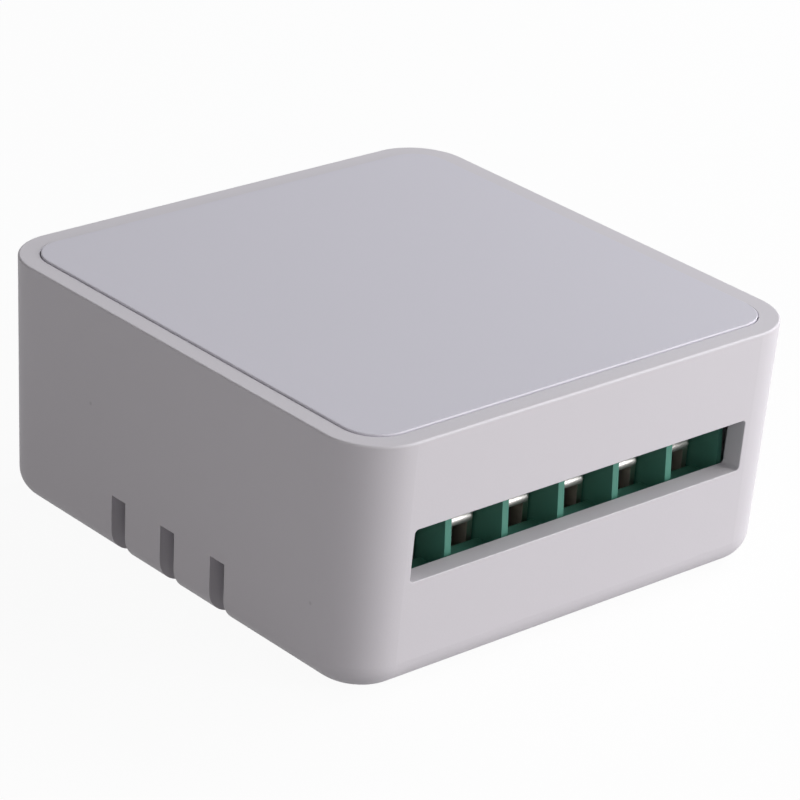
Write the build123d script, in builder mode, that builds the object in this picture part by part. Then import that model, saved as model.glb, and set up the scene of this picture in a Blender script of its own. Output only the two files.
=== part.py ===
from build123d import *
import math
import os

os.makedirs("parts", exist_ok=True)

# Frame: origin at the centre of the underside, +Z up to the back cover.
# The terminal side faces -Y, the vented sides face -X and +X. Millimetres.

# Housing
body_width = 39.2
rim_height = 17.9
lid_proud = 0.1
wall = 1.5
floor_thickness = 1.5
side_draft = 0.605
corner_radius = 4.2
bottom_fillet = 2.0
rim_round = 0.15
rim_inner_chamfer = 0.06
draft_angle = math.degrees(math.atan(side_draft / rim_height))
inner_half = body_width / 2 - wall

# Back cover
lid_gap = 0.06
lid_thickness = 1.6
lid_top = rim_height + lid_proud
lid_bottom = lid_top - lid_thickness
lid_width = 2 * (inner_half - lid_gap)
lid_corner = corner_radius - wall - lid_gap
lid_edge_round = 0.08

# Corner posts, cover pegs and the other supports of the board
post_x = 16.95
post_y = 12.5
post_foot_x = 15.55
post_foot_half = 2.0
post_radius = 1.15
post_web = 1.2
post_top = lid_bottom - 0.02
peg_radius = 0.62
peg_bore_radius = 0.65
peg_length = 4.5
peg_bore_depth = 5.0
rest_rib_x = (-10.0, 5.0)
rest_rib_width = 1.0
rest_rib_reach = 16.4
press_post = 15.2
press_post_radius = 0.9
lip_length = 16.0
lip_half_out = 17.8
lip_thickness = 0.8
lip_height = 0.9

# Main circuit board, component side down
board_width = 34.8
board_corner = 2.0
board_bottom = 13.3
board_thickness = 1.2
board_top = board_bottom + board_thickness
lead_end = board_top + 0.8
post_notch_clearance = 0.12

# Wire slot in the terminal wall
slot_half = 14.9
slot_bottom = 7.72
slot_top = 11.52
slot_corner = 0.3
slot_edge_round = 0.06

# Vent notches that wrap from both side walls into the underside
vent_width = 1.5
vent_pitch = 5.3
vent_top = 4.55
vent_reach = 15.6

# Terminal block
poles = 6
pitch = 5.0
block_front = -17.38
block_front_top = -17.0
block_lean_bottom = 7.0
block_back = -9.2
block_bottom = 1.9
block_half = 15.43
block_chamfer = 0.3
divider = 0.55
cell_half = (pitch - divider) / 2
mouth_back = -15.1
mouth_bottom = 6.5
chamber_back = -10.1
chamber_bottom = 4.1

# Clamp of one pole
screw_y = -13.0
thread_radius = 1.42
thread_core = 1.25
screw_head_radius = 1.9
screw_head_height = 1.6
screw_head_bottom = 2.3
drive_width = 0.6
drive_depth = 0.8
drive_cross_half = 1.2
screw_head_edge = 0.2
screw_tip_edge = 0.25
screw_tip_gap = 0.02
head_bore_radius = 2.12
head_lip_radius = 1.75
head_lip_height = 0.3
plate_bottom = 8.0
plate_thickness = 0.8
plate_nose = 0.38
plate_corner = 0.25
plate_front = -15.4
plate_half = 1.5
plate_tab_half = 2.13
plate_tab_gap = 0.15
riser_slot_clearance = 0.05
riser_back = -10.2
riser_thickness = 0.5
terminal_pin_radius = 0.5
cage_front = -14.7
cage_back = -11.3
cage_half = 2.05
cage_side = 0.45
cage_base = 0.9
cage_end = 0.7
cage_travel = 2.5
cage_shut_gap = 0.3
cage_corner = 0.4
cage_bore_radius = thread_radius + 0.04
cage_clearance = 0.1
cage_bottom = chamber_bottom + cage_clearance
cage_top = plate_bottom + plate_thickness + cage_shut_gap + cage_end
chamber_top = cage_top + cage_travel + cage_clearance
access_hole_radius = 2.0
access_chamfer = 0.3
pole_x = [pitch * (number - (poles - 1) / 2) for number in range(poles)]

# Button, its sleeve and the tactile switch above it
button_x = 10.2
button_y = 12.0
button_radius = 2.45
button_hole_radius = 2.6
button_recess = 0.3
flange_radius = 3.1
flange_bottom = 1.65
flange_height = 0.8
plunger_radius = 1.5
sleeve_inner = 3.25
sleeve_outer = 4.0
sleeve_top = 4.5
tact_size = 6.0
tact_bottom = 9.9
tact_corner = 0.5
stem_radius = 1.75
stem_bore_radius = 1.85
stem_bottom = 8.4
stem_top = 10.5
stem_bore_top = 11.1
plunger_gap = 0.05
button_edge = 0.25
stem_edge = 0.2
tact_lead_radius = 0.35
tact_lead_x = 3.25
tact_lead_y = 2.25
tact_foot_half = 0.35
tact_foot_root = 0.2
tact_foot_bottom = 12.0

# Light pipe and status light
light_x = 4.0
light_y = 12.6
light_radius = 1.0
light_hole_radius = 1.03
light_collar_radius = 1.6
light_collar_height = 1.5
light_recess = 0.1
light_top = 12.2
led_size = (2.0, 1.25, 0.8)

# Relays, hanging from the board with their bases up
relay_x = (-10.9, -0.3)
relay_y = -0.9
relay_half = 5.0
relay_front = -7.2
relay_back = 9.2
relay_bottom = 2.4
relay_top = 12.9
relay_wall = 0.55
relay_base_height = 1.2
relay_corner = 0.5
relay_edge = 0.3
relay_slack = 0.05
coil_z = 7.5
contact_z = 10.7
contact_radius = 0.7
blade_bottom = 9.95
blade_half = 1.2
blade_thickness = 0.3
open_blade_y = -3.45
open_rivet = (-3.8, -3.6)
closed_blade_y = -5.65
closed_rivet = (-5.5, -5.15)
moving_rivet = (-5.1, -4.35)
leaf_half = 1.5
leaf_y = (-4.85, -4.65)
leaf_z = (5.0, 11.4)
armature_half = 3.4
armature_y = (-4.65, -3.75)
armature_z = (3.1, 9.7)
armature_corner = 0.4
coil_pin_x = 3.2
coil_pin_y = 6.95
common_y = 7.9
common_radius = 0.4
hub_radius = 2.0
core_radius = 1.4
pole_face_radius = 1.9
pole_face_y = (-3.3, -2.65)
wound_radius = 3.45
flange_half = 3.9
flange_z = (3.9, 11.1)
flange_front = (-2.6, -1.9)
flange_back = (6.6, 7.3)
yoke_half = 3.6
yoke_y = (-3.55, 8.4)
yoke_z = (3.05, 3.85)
yoke_back = (7.4, 8.4)
yoke_top = 9.6

# Power supply parts
big_can = (9.8, -4.4, 4.0, 10.7)
small_can = (14.5, 6.4, 2.5, 7.8)
can_standoff = 0.3
can_edge = 0.4
can_shoulder = 0.3
groove_drop = 1.6
groove_depth = 0.35
choke = (8.6, 4.4, 3.0, 8.0)
choke_flange = 1.2
choke_hub_radius = 1.4
choke_wire_margin = 0.3
choke_lead_half = 1.5
varistor_at = (15.6, -0.9)
varistor_radius = 3.7
varistor_thickness = 2.8
varistor_z = 8.9
varistor_edge = 0.6
varistor_lead = (0.4, 2.5)
fuse_at = (15.3, -6.7)
fuse_radius = 1.2
fuse_length = 6.5
fuse_standoff = 1.0
fuse_edge = 0.4
fuse_loop = 2.0
fuse_tail = 0.9
snubber_x = (-9.5, -1.4)
snubber_y = 10.6
snubber_size = (7.2, 3.0, 6.5)
snubber_standoff = 0.2
snubber_edge = 0.4
snubber_lead_half = 2.5
lead_radius = 0.3

# Radio board, standing on its edge behind the relays
radio_x = (-13.4, 2.6)
radio_y = (14.6, 15.4)
radio_z = (2.4, 13.2)
shield_x = (-12.4, -1.4)
shield_z = (3.6, 11.6)
shield_height = 1.7
shield_wall = 0.25
shield_edge = 0.3
chip_x = (-9.4, -4.4)
chip_z = (5.1, 10.1)
chip_thickness = 0.9
radio_pins = 6
radio_pin_margin = 1.4

# Surface parts and solder on the board's back
bridge_x = (8.0, 12.4)
bridge_y = (-1.6, 2.0)
bridge_standoff = 0.1
bridge_height = 1.4
bridge_edge = 0.2
bridge_leg_pitch = 2.6
bridge_leg_half = 0.35
bridge_leg_length = 0.9
bridge_leg_thickness = 0.3
board_chip_places = (
    (-6.0, 0.5, 5.0, 4.0),
    (4.6, 0.5, 3.0, 3.0),
    (-6.0, -5.2, 3.0, 3.0),
)
board_chip_height = 1.0
passive_places = (
    (-6.0, 8.6),
    (1.6, 8.6),
    (-6.0, 12.7),
    (0.0, 12.7),
    (4.6, 4.0),
    (4.6, -3.0),
)
passive_pitch = 1.9
passive_size = (0.8, 1.6, 0.5)
lead_hole_clearance = 0.1
solder_height = 0.6
solder_foot = 0.5
solder_neck = 0.12

leads = []


def save(piece, label):
    """Label a finished piece and write its STEP file."""
    piece.part.label = label
    export_step(piece.part, f"parts/{label}.step")


def span(first, second):
    """Return two bounds as an interval, lower one first."""
    return (min(first, second), max(first, second))


def block(x, y, z, mode=Mode.ADD):
    """Add or cut a block that fills the given x, y and z intervals."""
    with Locations(((x[0] + x[1]) / 2, (y[0] + y[1]) / 2, (z[0] + z[1]) / 2)):
        Box(x[1] - x[0], y[1] - y[0], z[1] - z[0], mode=mode)


def rod(x, y, radius, z, mode=Mode.ADD):
    """Add or cut an upright cylinder that fills the given z interval."""
    with Locations((x, y, (z[0] + z[1]) / 2)):
        Cylinder(radius, z[1] - z[0], mode=mode)


def rod_along_y(x, z, radius, y, mode=Mode.ADD):
    """Add or cut a cylinder that lies along Y over the given y interval."""
    with Locations((x, (y[0] + y[1]) / 2, z)):
        Cylinder(radius, y[1] - y[0], rotation=(90, 0, 0), mode=mode)


def add_lead(x, y, radius, bottom):
    """Add a round lead up through the board and note its place for the board's holes."""
    rod(x, y, radius, (bottom, lead_end))
    leads.append((x, y, radius))


# Housing tub: drafted shell, closed underside, open towards the back cover
with BuildPart() as housing_tub:
    with BuildSketch(Plane.XY.offset(rim_height)):
        RectangleRounded(body_width, body_width, corner_radius)
    extrude(amount=-rim_height, taper=draft_angle)
    fillet(housing_tub.faces().sort_by(Axis.Z)[0].edges(), bottom_fillet)
    fillet(housing_tub.faces().sort_by(Axis.Z)[-1].edges(), rim_round)
    with BuildSketch(Plane.XY.offset(rim_height)):
        RectangleRounded(2 * inner_half, 2 * inner_half, corner_radius - wall)
    extrude(amount=floor_thickness - rim_height, taper=draft_angle, mode=Mode.SUBTRACT)
    chamfer(housing_tub.faces().sort_by(Axis.Z)[-1].inner_wires().edges(), rim_inner_chamfer)
    for side_x in (-1, 1):
        for side_y in (-1, 1):
            block(
                span(side_x * post_foot_x, side_x * inner_half),
                (side_y * post_y - post_foot_half, side_y * post_y + post_foot_half),
                (floor_thickness, board_bottom),
            )
            rod(side_x * post_x, side_y * post_y, post_radius, (board_bottom, post_top))
            block(
                span(side_x * post_x, side_x * inner_half),
                (side_y * post_y - post_web / 2, side_y * post_y + post_web / 2),
                (board_bottom, post_top),
            )
    for rib_x in rest_rib_x:
        block(
            (rib_x - rest_rib_width / 2, rib_x + rest_rib_width / 2),
            (rest_rib_reach, inner_half),
            (floor_thickness, board_bottom),
        )
    rod(button_x, button_y, sleeve_outer, (floor_thickness, sleeve_top))
    rod(button_x, button_y, sleeve_inner, (floor_thickness, sleeve_top), Mode.SUBTRACT)
    rod(button_x, button_y, button_hole_radius, (0, floor_thickness), Mode.SUBTRACT)
    rod(light_x, light_y, light_hole_radius, (0, floor_thickness), Mode.SUBTRACT)
    for side_x in (-1, 1):
        for side_y in (-1, 1):
            rod(
                side_x * post_x,
                side_y * post_y,
                peg_bore_radius,
                (post_top - peg_bore_depth, post_top),
                Mode.SUBTRACT,
            )
    with BuildSketch(Plane.XZ.offset(body_width / 2)):
        with Locations((0, (slot_bottom + slot_top) / 2)):
            RectangleRounded(2 * slot_half, slot_top - slot_bottom, slot_corner)
    extrude(amount=-2 * wall, mode=Mode.SUBTRACT)
    front_wall = housing_tub.faces().filter_by(GeomType.PLANE).sort_by(Axis.Y)[0]
    fillet(front_wall.inner_wires().edges(), slot_edge_round)
    for side_x in (-1, 1):
        for number in (-1, 0, 1):
            vent_y = number * vent_pitch
            block(
                span(side_x * vent_reach, side_x * (body_width / 2 + 1)),
                (vent_y - vent_width / 2, vent_y + vent_width / 2),
                (-1, vent_top),
                Mode.SUBTRACT,
            )
    with BuildSketch(Plane.XY):
        with Locations([(x, screw_y) for x in pole_x]):
            Circle(access_hole_radius)
    extrude(amount=floor_thickness, mode=Mode.SUBTRACT)
    access_rims = (
        housing_tub.edges()
        .filter_by(GeomType.CIRCLE)
        .filter_by_position(Axis.Z, -0.01, 0.01)
        .filter_by_position(Axis.Y, screw_y - 0.1, screw_y + 0.1)
    )
    chamfer(access_rims, access_chamfer)
save(housing_tub, "housing_tub")

# Back cover with locating lips, corner pegs and posts that press on the board
with BuildPart() as lid_plate:
    with BuildSketch(Plane.XY.offset(lid_bottom)):
        RectangleRounded(lid_width, lid_width, lid_corner)
    extrude(amount=lid_thickness)
    fillet(lid_plate.faces().sort_by(Axis.Z)[-1].edges(), lid_edge_round)
    for side in (-1, 1):
        lip = span(side * lip_half_out, side * (lip_half_out - lip_thickness))
        along = (-lip_length / 2, lip_length / 2)
        block(lip, along, (lid_bottom - lip_height, lid_bottom))
        block(along, lip, (lid_bottom - lip_height, lid_bottom))
        for other in (-1, 1):
            rod(side * post_x, other * post_y, peg_radius, (lid_bottom - peg_length, lid_bottom))
            rod(
                side * press_post,
                other * press_post,
                press_post_radius,
                (board_top + 0.05, lid_bottom),
            )
save(lid_plate, "lid_plate")

# Terminal block body: cells open to the wire slot, screw bores in the underside
with BuildPart() as terminal_housing:
    with BuildSketch(Plane.YZ):
        with BuildLine():
            Polyline(
                (block_back, block_bottom),
                (block_front, block_bottom),
                (block_front, block_lean_bottom),
                (block_front_top, board_bottom),
                (block_back, board_bottom),
                close=True,
            )
        make_face()
    extrude(amount=block_half, both=True)
    front_edges = terminal_housing.edges().filter_by_position(
        Axis.Y, block_front - 0.1, block_front_top + 0.1
    )
    chamfer(front_edges.filter_by(Axis.X, reverse=True), block_chamfer)
    for x in pole_x:
        block(
            (x - cell_half, x + cell_half),
            (block_front, mouth_back),
            (mouth_bottom, chamber_top),
            Mode.SUBTRACT,
        )
        block(
            (x - cell_half, x + cell_half),
            (mouth_back, chamber_back),
            (chamber_bottom, chamber_top),
            Mode.SUBTRACT,
        )
        block(
            (x - plate_half - riser_slot_clearance, x + plate_half + riser_slot_clearance),
            (riser_back - riser_thickness - riser_slot_clearance, riser_back + riser_slot_clearance),
            (chamber_top, board_bottom),
            Mode.SUBTRACT,
        )
        rod(x, screw_y, head_lip_radius, (block_bottom, chamber_bottom), Mode.SUBTRACT)
        rod(
            x,
            screw_y,
            head_bore_radius,
            (block_bottom + head_lip_height, chamber_bottom),
            Mode.SUBTRACT,
        )
save(terminal_housing, "terminal_housing")

# Fixed contact plates, one per pole, each with its solder pin
with BuildPart() as terminal_contacts:
    plate_top = plate_bottom + plate_thickness
    for x in pole_x:
        block((x - plate_half, x + plate_half), (plate_front, riser_back), (plate_bottom, plate_top))
    fillet(terminal_contacts.edges().filter_by(Axis.Z).group_by(Axis.Y)[0], plate_corner)
    noses = terminal_contacts.edges().filter_by_position(Axis.Y, plate_front - 0.1, plate_front + 0.1)
    fillet(noses.filter_by(Axis.X), plate_nose)
    for x in pole_x:
        block(
            (x - plate_tab_half, x + plate_tab_half),
            (cage_back + plate_tab_gap, riser_back),
            (plate_bottom, plate_top),
        )
        block(
            (x - plate_half, x + plate_half),
            (riser_back - riser_thickness, riser_back),
            (plate_top, board_bottom),
        )
        add_lead(x, riser_back - riser_thickness / 2, terminal_pin_radius, board_bottom)
save(terminal_contacts, "terminal_contacts")


def make_terminal_screw(number, x):
    """Captive clamp screw, head down, its tip bearing under the contact plate."""
    head_top = screw_head_bottom + screw_head_height
    with BuildPart() as screw:
        rod(x, screw_y, screw_head_radius, (screw_head_bottom, head_top))
        chamfer(screw.edges().group_by(Axis.Z)[0], screw_head_edge)
        rod(x, screw_y, thread_core, (head_top, plate_bottom - screw_tip_gap))
        chamfer(screw.edges().group_by(Axis.Z)[-1], screw_tip_edge)
        cut_z = (screw_head_bottom, screw_head_bottom + drive_depth)
        half = drive_width / 2
        for reach_x, reach_y in ((screw_head_radius, half), (half, drive_cross_half)):
            block(
                (x - reach_x, x + reach_x),
                (screw_y - reach_y, screw_y + reach_y),
                cut_z,
                Mode.SUBTRACT,
            )
    save(screw, f"terminal_screw_{number}")


def make_terminal_cage(number, x):
    """Clamp cage of one pole, drawn towards the screw head until it is shut."""
    with BuildPart() as cage:
        with BuildSketch(Plane.XZ.offset(-cage_back)):
            with Locations((x, (cage_bottom + cage_top) / 2)):
                RectangleRounded(2 * cage_half, cage_top - cage_bottom, cage_corner)
            window_bottom = cage_bottom + cage_base
            window_top = cage_top - cage_end
            with Locations((x, (window_bottom + window_top) / 2)):
                Rectangle(
                    2 * (cage_half - cage_side),
                    window_top - window_bottom,
                    mode=Mode.SUBTRACT,
                )
        extrude(amount=cage_back - cage_front)
        rod(x, screw_y, cage_bore_radius, (cage_bottom, window_bottom), Mode.SUBTRACT)
    save(cage, f"terminal_cage_{number}")


for pole_number, pole_centre in enumerate(pole_x, start=1):
    make_terminal_screw(pole_number, pole_centre)
    make_terminal_cage(pole_number, pole_centre)

# Pairing button: recessed face, flange behind the underside, plunger to the switch
with BuildPart() as pairing_button:
    rod(button_x, button_y, button_radius, (button_recess, flange_bottom))
    chamfer(pairing_button.edges().group_by(Axis.Z)[0], button_edge)
    rod(button_x, button_y, flange_radius, (flange_bottom, flange_bottom + flange_height))
    rod(
        button_x,
        button_y,
        plunger_radius,
        (flange_bottom + flange_height, stem_bottom - plunger_gap),
    )
save(pairing_button, "pairing_button")

# Tactile switch: body soldered to the board, and its moving stem
with BuildPart() as tact_switch_body:
    with BuildSketch(Plane.XY.offset(tact_bottom)):
        with Locations((button_x, button_y)):
            RectangleRounded(tact_size, tact_size, tact_corner)
    extrude(amount=board_bottom - tact_bottom)
    rod(button_x, button_y, stem_bore_radius, (tact_bottom, stem_bore_top), Mode.SUBTRACT)
    for side_x in (-1, 1):
        for side_y in (-1, 1):
            foot_x = button_x + side_x * tact_lead_x
            foot_y = button_y + side_y * tact_lead_y
            reach = span(button_x + side_x * (tact_size / 2 - tact_foot_root), foot_x)
            block(
                reach,
                (foot_y - tact_foot_half, foot_y + tact_foot_half),
                (tact_foot_bottom, board_bottom),
            )
            add_lead(foot_x, foot_y, tact_lead_radius, tact_foot_bottom)
save(tact_switch_body, "tact_switch_body")

with BuildPart() as tact_switch_stem:
    rod(button_x, button_y, stem_radius, (stem_bottom, stem_top))
    chamfer(tact_switch_stem.edges().group_by(Axis.Z)[0], stem_edge)
save(tact_switch_stem, "tact_switch_stem")

# Light pipe from the status light down to the underside
with BuildPart() as light_pipe:
    rod(light_x, light_y, light_radius, (light_recess, light_top))
    rod(
        light_x,
        light_y,
        light_collar_radius,
        (floor_thickness, floor_thickness + light_collar_height),
    )
save(light_pipe, "light_pipe")

with BuildPart() as status_led:
    block(
        (light_x - led_size[0] / 2, light_x + led_size[0] / 2),
        (light_y - led_size[1] / 2, light_y + led_size[1] / 2),
        (board_bottom - led_size[2], board_bottom),
    )
save(status_led, "status_led")


def make_relay(prefix, centre_x):
    """Build one relay's pieces in its own plane, placed over its footprint."""
    place = Plane(origin=(centre_x, relay_y, 0))
    inside = relay_half - relay_wall
    base_bottom = relay_top - relay_base_height

    with BuildPart(place) as case:
        block((-relay_half, relay_half), (relay_front, relay_back), (relay_bottom, relay_top))
        fillet(case.edges().filter_by(Axis.Z), relay_corner)
        chamfer(case.faces().sort_by(Axis.Z)[0].edges(), relay_edge)
        block(
            (-inside, inside),
            (relay_front + relay_wall, relay_back - relay_wall),
            (relay_bottom + relay_wall, relay_top),
            Mode.SUBTRACT,
        )
    save(case, f"{prefix}_case")

    with BuildPart(place) as base:
        block(
            (relay_slack - inside, inside - relay_slack),
            (relay_front + relay_wall + relay_slack, relay_back - relay_wall - relay_slack),
            (base_bottom, relay_top),
        )
        through = (base_bottom, relay_top)
        for blade_y in (open_blade_y, closed_blade_y):
            slot_half_y = blade_thickness / 2 + relay_slack
            block(
                (-blade_half - relay_slack, blade_half + relay_slack),
                (blade_y - slot_half_y, blade_y + slot_half_y),
                through,
                Mode.SUBTRACT,
            )
        rod(0, common_y, common_radius + relay_slack, through, Mode.SUBTRACT)
        for side in (-1, 1):
            rod(side * coil_pin_x, coil_pin_y, lead_radius + relay_slack, through, Mode.SUBTRACT)
    save(base, f"{prefix}_base")

    with BuildPart(place) as bobbin:
        bobbin_y = (flange_front[0], flange_back[1])
        for flange_y in (flange_front, flange_back):
            block((-flange_half, flange_half), flange_y, flange_z)
        rod_along_y(0, coil_z, hub_radius, bobbin_y)
        rod_along_y(0, coil_z, core_radius + relay_slack, bobbin_y, Mode.SUBTRACT)
    save(bobbin, f"{prefix}_bobbin")

    with BuildPart(place) as winding:
        wound = (flange_front[1], flange_back[0])
        rod_along_y(0, coil_z, wound_radius, wound)
        rod_along_y(0, coil_z, hub_radius, wound, Mode.SUBTRACT)
    save(winding, f"{prefix}_winding")

    with BuildPart(place) as magnet_frame:
        rod_along_y(0, coil_z, core_radius, (pole_face_y[1], yoke_back[0]))
        rod_along_y(0, coil_z, pole_face_radius, pole_face_y)
        block((-yoke_half, yoke_half), yoke_back, (yoke_z[0], yoke_top))
        block((-yoke_half, yoke_half), yoke_y, yoke_z)
        rod(0, common_y, common_radius, (yoke_top, lead_end))
    leads.append((centre_x, relay_y + common_y, common_radius))
    save(magnet_frame, f"{prefix}_magnet_frame")

    with BuildPart(place) as coil_pins:
        for side in (-1, 1):
            rod(side * coil_pin_x, coil_pin_y, lead_radius, (flange_z[1], lead_end))
            leads.append((centre_x + side * coil_pin_x, relay_y + coil_pin_y, lead_radius))
    save(coil_pins, f"{prefix}_coil_pins")

    with BuildPart(place) as armature:
        block((-armature_half, armature_half), armature_y, armature_z)
        fillet(armature.edges().filter_by(Axis.Y), armature_corner)
    save(armature, f"{prefix}_armature")

    with BuildPart(place) as moving_contact:
        block((-leaf_half, leaf_half), leaf_y, leaf_z)
        rod_along_y(0, contact_z, contact_radius, moving_rivet)
    save(moving_contact, f"{prefix}_moving_contact")

    with BuildPart(place) as fixed_contacts:
        for blade_y, rivet_y in ((open_blade_y, open_rivet), (closed_blade_y, closed_rivet)):
            block(
                (-blade_half, blade_half),
                (blade_y - blade_thickness / 2, blade_y + blade_thickness / 2),
                (blade_bottom, relay_top),
            )
            rod_along_y(0, contact_z, contact_radius, rivet_y)
            rod(0, blade_y, common_radius, (relay_top, lead_end))
            leads.append((centre_x, relay_y + blade_y, common_radius))
    save(fixed_contacts, f"{prefix}_fixed_contacts")


for relay_name, relay_centre in zip(("relay_a", "relay_b"), relay_x):
    make_relay(relay_name, relay_centre)


def make_can_capacitor(label, place, lead_half):
    """Upright electrolytic capacitor with a crimped rim, hanging from the board."""
    x, y, radius, height = place
    top = board_bottom - can_standoff
    bottom = top - height
    groove = top - groove_drop
    neck = radius - groove_depth
    with BuildPart() as capacitor:
        with BuildSketch(Plane.XZ.offset(-y)):
            with BuildLine():
                Polyline(
                    (x, bottom),
                    (x + radius - can_edge, bottom),
                    (x + radius, bottom + can_edge),
                    (x + radius, groove - groove_depth),
                    (x + neck, groove),
                    (x + radius, groove + groove_depth),
                    (x + radius, top - can_shoulder),
                    (x + radius - can_shoulder, top),
                    (x, top),
                    close=True,
                )
            make_face()
        revolve(axis=Axis((x, y, 0), (0, 0, 1)))
        for side in (-1, 1):
            add_lead(x + side * lead_half, y, lead_radius, top)
    save(capacitor, label)


make_can_capacitor("mains_capacitor", big_can, 1.75)
make_can_capacitor("output_capacitor", small_can, 1.0)

# Choke of the power supply: drum core and its winding
choke_x, choke_y, choke_radius, choke_height = choke
choke_top = board_bottom - can_standoff
choke_bottom = choke_top - choke_height
choke_wound = (choke_bottom + choke_flange, choke_top - choke_flange)
with BuildPart() as choke_core:
    rod(choke_x, choke_y, choke_radius, (choke_bottom, choke_top))
    rod(choke_x, choke_y, choke_radius, choke_wound, Mode.SUBTRACT)
    rod(choke_x, choke_y, choke_hub_radius, choke_wound)
    for side in (-1, 1):
        add_lead(choke_x + side * choke_lead_half, choke_y, lead_radius, choke_top)
save(choke_core, "choke_core")

with BuildPart() as choke_winding:
    rod(choke_x, choke_y, choke_radius - choke_wire_margin, choke_wound)
    rod(choke_x, choke_y, choke_hub_radius, choke_wound, Mode.SUBTRACT)
save(choke_winding, "choke_winding")

# Varistor disc, standing on its two leads
with BuildPart() as varistor:
    with BuildSketch(Plane.YZ.offset(varistor_at[0] - varistor_thickness / 2)):
        with Locations((varistor_at[1], varistor_z)):
            Circle(varistor_radius)
    extrude(amount=varistor_thickness)
    fillet(varistor.edges().filter_by(GeomType.CIRCLE), varistor_edge)
    for side in (-1, 1):
        lead_x = varistor_at[0] + side * varistor_lead[0]
        lead_y = varistor_at[1] + side * varistor_lead[1]
        add_lead(lead_x, lead_y, lead_radius, varistor_z)
save(varistor, "varistor")

# Fusible resistor, standing, its far lead bent back up beside the body
with BuildPart() as fuse_resistor:
    fuse_x, fuse_y = fuse_at
    fuse_top = board_bottom - fuse_standoff
    fuse_bottom = fuse_top - fuse_length
    tail_z = fuse_bottom - fuse_tail
    rod(fuse_x, fuse_y, fuse_radius, (fuse_bottom, fuse_top))
    fillet(fuse_resistor.edges().filter_by(GeomType.CIRCLE), fuse_edge)
    add_lead(fuse_x, fuse_y, lead_radius, fuse_top)
    loop_y = fuse_y - fuse_loop
    rod(fuse_x, fuse_y, lead_radius, (tail_z, fuse_bottom))
    rod_along_y(fuse_x, tail_z, lead_radius, (loop_y, fuse_y))
    add_lead(fuse_x, loop_y, lead_radius, tail_z)
save(fuse_resistor, "fuse_resistor")


def make_snubber(label, x):
    """Moulded film capacitor that quiets one relay's contacts."""
    top = board_bottom - snubber_standoff
    with BuildPart() as snubber:
        block(
            (x - snubber_size[0] / 2, x + snubber_size[0] / 2),
            (snubber_y - snubber_size[1] / 2, snubber_y + snubber_size[1] / 2),
            (top - snubber_size[2], top),
        )
        fillet(snubber.edges().filter_by(Axis.Z), snubber_edge)
        for side in (-1, 1):
            add_lead(x + side * snubber_lead_half, snubber_y, lead_radius, top)
    save(snubber, label)


make_snubber("snubber_capacitor_a", snubber_x[0])
make_snubber("snubber_capacitor_b", snubber_x[1])

# Radio module: board, chip, shield can and header pins
with BuildPart() as radio_board:
    block(radio_x, radio_y, radio_z)
save(radio_board, "radio_board")

shield_front = radio_y[0] - shield_height
with BuildPart() as radio_shield:
    block(shield_x, (shield_front, radio_y[0]), shield_z)
    fillet(radio_shield.faces().sort_by(Axis.Y)[0].edges(), shield_edge)
    block(
        (shield_x[0] + shield_wall, shield_x[1] - shield_wall),
        (shield_front + shield_wall, radio_y[0]),
        (shield_z[0] + shield_wall, shield_z[1] - shield_wall),
        Mode.SUBTRACT,
    )
save(radio_shield, "radio_shield")

with BuildPart() as radio_chip:
    block(chip_x, (radio_y[0] - chip_thickness, radio_y[0]), chip_z)
save(radio_chip, "radio_chip")

with BuildPart() as radio_header:
    pin_span = radio_x[1] - radio_x[0] - 2 * radio_pin_margin
    for number in range(radio_pins):
        pin_x = radio_x[0] + radio_pin_margin + number * pin_span / (radio_pins - 1)
        add_lead(pin_x, sum(radio_y) / 2, lead_radius, radio_z[1])
save(radio_header, "radio_header")

# Flat rectifier bridge and the small surface parts on the board's back
with BuildPart() as bridge_rectifier:
    bridge_bottom = board_top + bridge_standoff
    block(bridge_x, bridge_y, (bridge_bottom, bridge_bottom + bridge_height))
    chamfer(bridge_rectifier.faces().sort_by(Axis.Z)[-1].edges(), bridge_edge)
    for side_x in (-1, 1):
        leg_x = sum(bridge_x) / 2 + side_x * bridge_leg_pitch / 2
        for edge_y, direction in ((bridge_y[0], -1), (bridge_y[1], 1)):
            block(
                (leg_x - bridge_leg_half, leg_x + bridge_leg_half),
                span(edge_y, edge_y + direction * bridge_leg_length),
                (board_top, board_top + bridge_leg_thickness),
            )
save(bridge_rectifier, "bridge_rectifier")

with BuildPart() as board_chips:
    for centre_x, centre_y, chip_width, chip_depth in board_chip_places:
        block(
            (centre_x - chip_width / 2, centre_x + chip_width / 2),
            (centre_y - chip_depth / 2, centre_y + chip_depth / 2),
            (board_top, board_top + board_chip_height),
        )
save(board_chips, "board_chips")

with BuildPart() as board_passives:
    with BuildSketch(Plane.XY.offset(board_top)):
        with Locations(passive_places):
            with GridLocations(passive_pitch, 1.0, 2, 1):
                Rectangle(passive_size[0], passive_size[1])
    extrude(amount=passive_size[2])
save(board_passives, "board_passives")

# Main board with notches round the posts and a hole for each lead
with BuildPart() as main_board:
    with BuildSketch(Plane.XY.offset(board_bottom)):
        RectangleRounded(board_width, board_width, board_corner)
        notch_radius = post_radius + post_notch_clearance
        with GridLocations(2 * post_x, 2 * post_y, 2, 2):
            Circle(notch_radius, mode=Mode.SUBTRACT)
            Rectangle(board_width - 2 * post_x, 2 * notch_radius, mode=Mode.SUBTRACT)
        for lead_x, lead_y, radius in leads:
            with Locations((lead_x, lead_y)):
                Circle(radius + lead_hole_clearance, mode=Mode.SUBTRACT)
    extrude(amount=board_thickness)
save(main_board, "main_board")

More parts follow.
